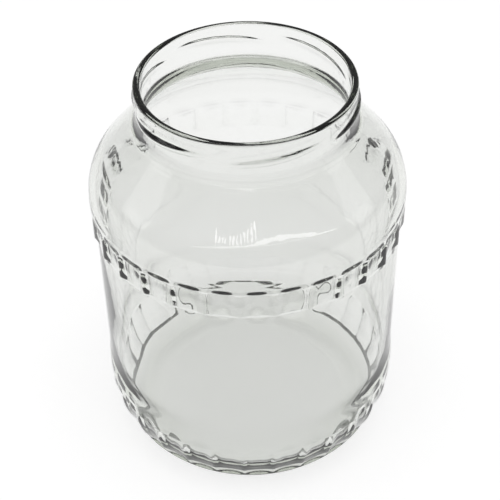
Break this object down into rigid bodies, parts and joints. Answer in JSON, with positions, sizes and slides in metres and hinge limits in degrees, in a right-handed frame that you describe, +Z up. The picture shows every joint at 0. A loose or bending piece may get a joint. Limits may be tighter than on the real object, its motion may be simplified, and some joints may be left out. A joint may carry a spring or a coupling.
{
  "type": "preserving jar",
  "caption": "Clear glass wide-mouthed preserving jar, open and empty, with slanted cap lugs round its mouth and fluted bands at shoulder and heel.",
  "frame": {"origin": "centre of the flat ring that the jar stands on", "axes": "+Z up along the jar's axis, towards its mouth; one of the mouth's lugs is centred on +X"},
  "size_m": [0.144, 0.144, 0.193],
  "materials": {
    "glass": "clear flint glass with a faint green cast, fire-polished and glossy"
  },
  "bodies": {
    "root": {"jar": "glass"}
  },
  "joints": []
}
